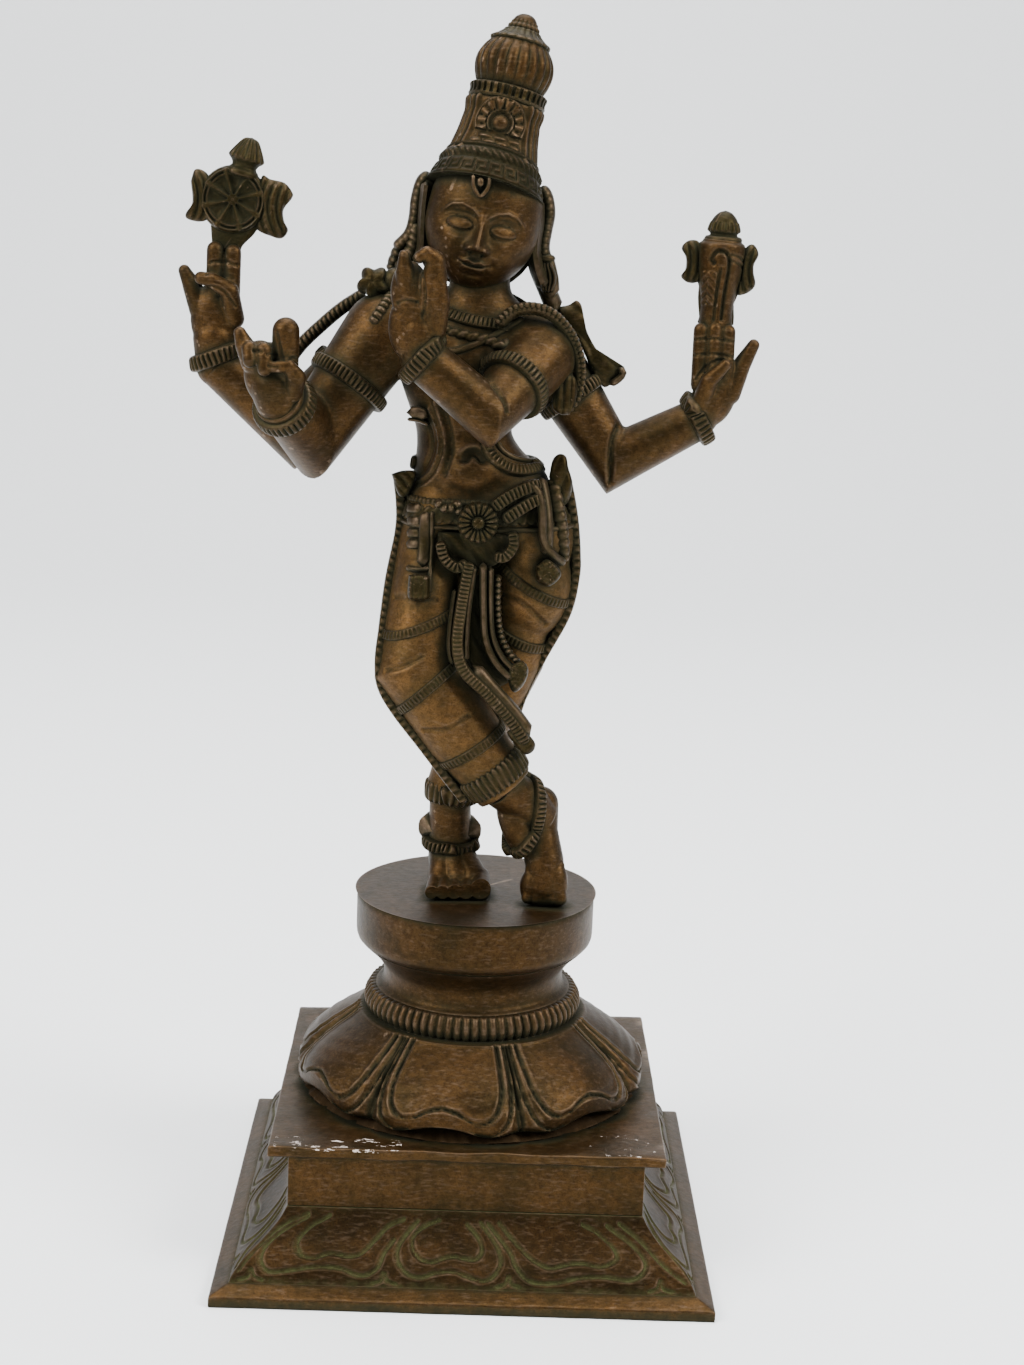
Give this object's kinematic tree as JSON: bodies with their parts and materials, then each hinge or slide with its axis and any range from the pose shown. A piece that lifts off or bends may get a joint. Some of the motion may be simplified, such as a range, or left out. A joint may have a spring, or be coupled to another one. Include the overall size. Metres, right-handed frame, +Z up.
{
  "type": "four-armed flute player statue",
  "caption": "Standing four-armed flute player with crossed legs, holding a discus and a conch, on a lotus and a stepped square plinth, in patinated brass.",
  "frame": {"origin": "centre of the square plinth's underside, on the surface that the statue stands on", "axes": "+Z up, -Y the way the figure faces, +X towards the figure's own left hand"},
  "size_m": [0.1427, 0.122, 0.3054],
  "materials": {
    "figure_brass": "satin brown patina, hand chased, olive-black in the hollows",
    "chased_brass": "darker brown patina over fine chasing, green-black in the grooves",
    "lotus_brass": "brushed brown patina with engraved lines",
    "plinth_brass": "brushed brown patina, rubbed on the edges",
    "soft_solder": "rough dark joint compound"
  },
  "bodies": {
    "root": {"ankle_cuffs": "chased_brass", "anklets": "chased_brass", "armlets": "chased_brass", "back_left_forearm": "figure_brass", "back_left_hand": "figure_brass", "back_left_upper_arm": "figure_brass", "back_right_forearm": "figure_brass", "back_right_hand": "figure_brass", "back_right_upper_arm": "figure_brass", "bead_ring": "lotus_brass", "belt": "chased_brass", "belt_buckle": "chased_brass", "bracelets": "chased_brass", "conch_body": "chased_brass", "conch_finial": "chased_brass", "conch_flames": "chased_brass", "crossing_ankle": "figure_brass", "crossing_foot": "figure_brass", "crown_band": "chased_brass", "crown_bulb": "chased_brass", "crown_cap": "chased_brass", "crown_collar": "chased_brass", "crown_cone": "chased_brass", "crown_knob": "chased_brass", "dhoti": "chased_brass", "discus_finial": "chased_brass", "discus_flames": "chased_brass", "discus_wheel": "chased_brass", "ear_pendants": "chased_brass", "edge_bands": "chased_brass", "foot_tenons": "lotus_brass", "front_left_forearm": "figure_brass", "front_left_hand": "figure_brass", "front_left_upper_arm": "figure_brass", "front_pleats": "chased_brass", "front_right_forearm": "figure_brass", "front_right_hand": "figure_brass", "front_right_upper_arm": "figure_brass", "hair_locks": "figure_brass", "head": "figure_brass", "hip_sash": "chased_brass", "lotus_petals": "lotus_brass", "lotus_solder_seam": "soft_solder", "neck": "figure_brass", "neck_drum": "lotus_brass", "necklaces": "chased_brass", "plinth_die": "plinth_brass", "plinth_foot_slab": "plinth_brass", "plinth_petal_slope": "plinth_brass", "plinth_top_plate": "plinth_brass", "scarf_end": "chased_brass", "shoulder_garland": "chased_brass", "shoulder_knot": "chased_brass", "standing_ankle": "figure_brass", "standing_disc": "lotus_brass", "standing_foot": "figure_brass", "tassels": "chased_brass", "torso": "figure_brass", "waist_sash": "chased_brass"}
  },
  "joints": []
}
